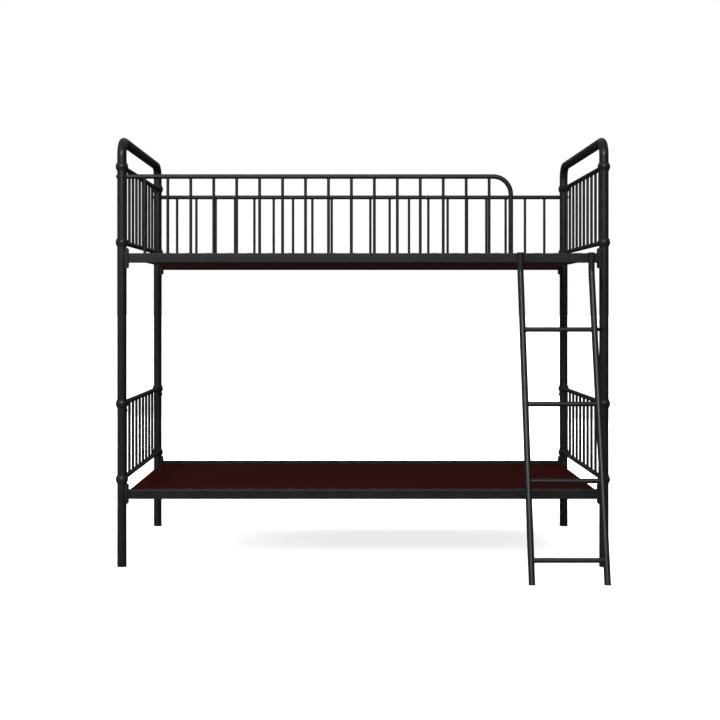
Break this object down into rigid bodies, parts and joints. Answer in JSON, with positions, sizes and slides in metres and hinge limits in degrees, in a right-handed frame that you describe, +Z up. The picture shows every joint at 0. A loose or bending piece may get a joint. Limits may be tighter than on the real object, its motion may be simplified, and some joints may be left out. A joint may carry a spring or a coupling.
{
  "type": "bunk bed",
  "caption": "Steel tube bunk bed with upper and lower mattress decks, hooped spindled ends, guard rails and a leaning hook-on ladder.",
  "frame": {"origin": "on the floor, under the middle of the whole object's box, ladder included", "axes": "+X along the bed towards the ladder's end, +Y from the ladder side to the back, +Z up"},
  "size_m": [1.9933, 1.4178, 1.7355],
  "materials": {
    "black_steel": "satin black powder coat",
    "black_fastener": "black oxide, semi-gloss",
    "inner_steel": "zinc plated",
    "deck_board": "dark maroon covered board",
    "black_plastic": "matt black",
    "black_rubber": "matt black"
  },
  "bodies": {
    "bed": {"left_front_post": "black_steel", "left_back_post": "black_steel", "left_hoop": "black_steel", "left_ball_collars": "black_steel", "left_foot_cross_bar": "black_steel", "left_low_cross_bar": "black_steel", "left_middle_cross_bar": "black_steel", "left_top_cross_bar": "black_steel", "left_lower_spindles": "black_steel", "left_upper_spindles": "black_steel", "left_post_sleeves": "inner_steel", "right_front_post": "black_steel", "right_back_post": "black_steel", "right_hoop": "black_steel", "right_ball_collars": "black_steel", "right_foot_cross_bar": "black_steel", "right_low_cross_bar": "black_steel", "right_middle_cross_bar": "black_steel", "right_top_cross_bar": "black_steel", "right_lower_spindles": "black_steel", "right_upper_spindles": "black_steel", "right_post_sleeves": "inner_steel", "post_feet": "black_plastic", "post_bolts": "black_fastener", "post_nuts": "inner_steel", "lower_front_rail": "black_steel", "lower_back_rail": "black_steel", "lower_rail_saddles": "black_steel", "lower_deck": "deck_board", "lower_deck_hangers": "black_steel", "lower_rail_bolts": "black_fastener", "lower_rail_nuts": "inner_steel", "upper_front_rail": "black_steel", "upper_back_rail": "black_steel", "upper_rail_saddles": "black_steel", "upper_deck": "deck_board", "upper_deck_hangers": "black_steel", "upper_rail_bolts": "black_fastener", "upper_rail_nuts": "inner_steel", "front_guard_tube": "black_steel", "front_guard_balusters": "black_steel", "back_guard_tube": "black_steel", "back_guard_balusters": "black_steel", "guard_bolts": "black_fastener", "guard_inserts": "inner_steel"},
    "ladder": {"ladder_left_stile": "black_steel", "ladder_right_stile": "black_steel", "ladder_rungs": "black_steel", "ladder_hooks": "black_steel", "ladder_feet": "black_plastic", "ladder_bumper": "black_rubber"}
  },
  "joints": [
    {"name": "ladder_lift", "type": "slide", "parent": "bed", "child": "ladder", "axis": [0, 0, 1], "range_m": [0, 0.12]}
  ]
}
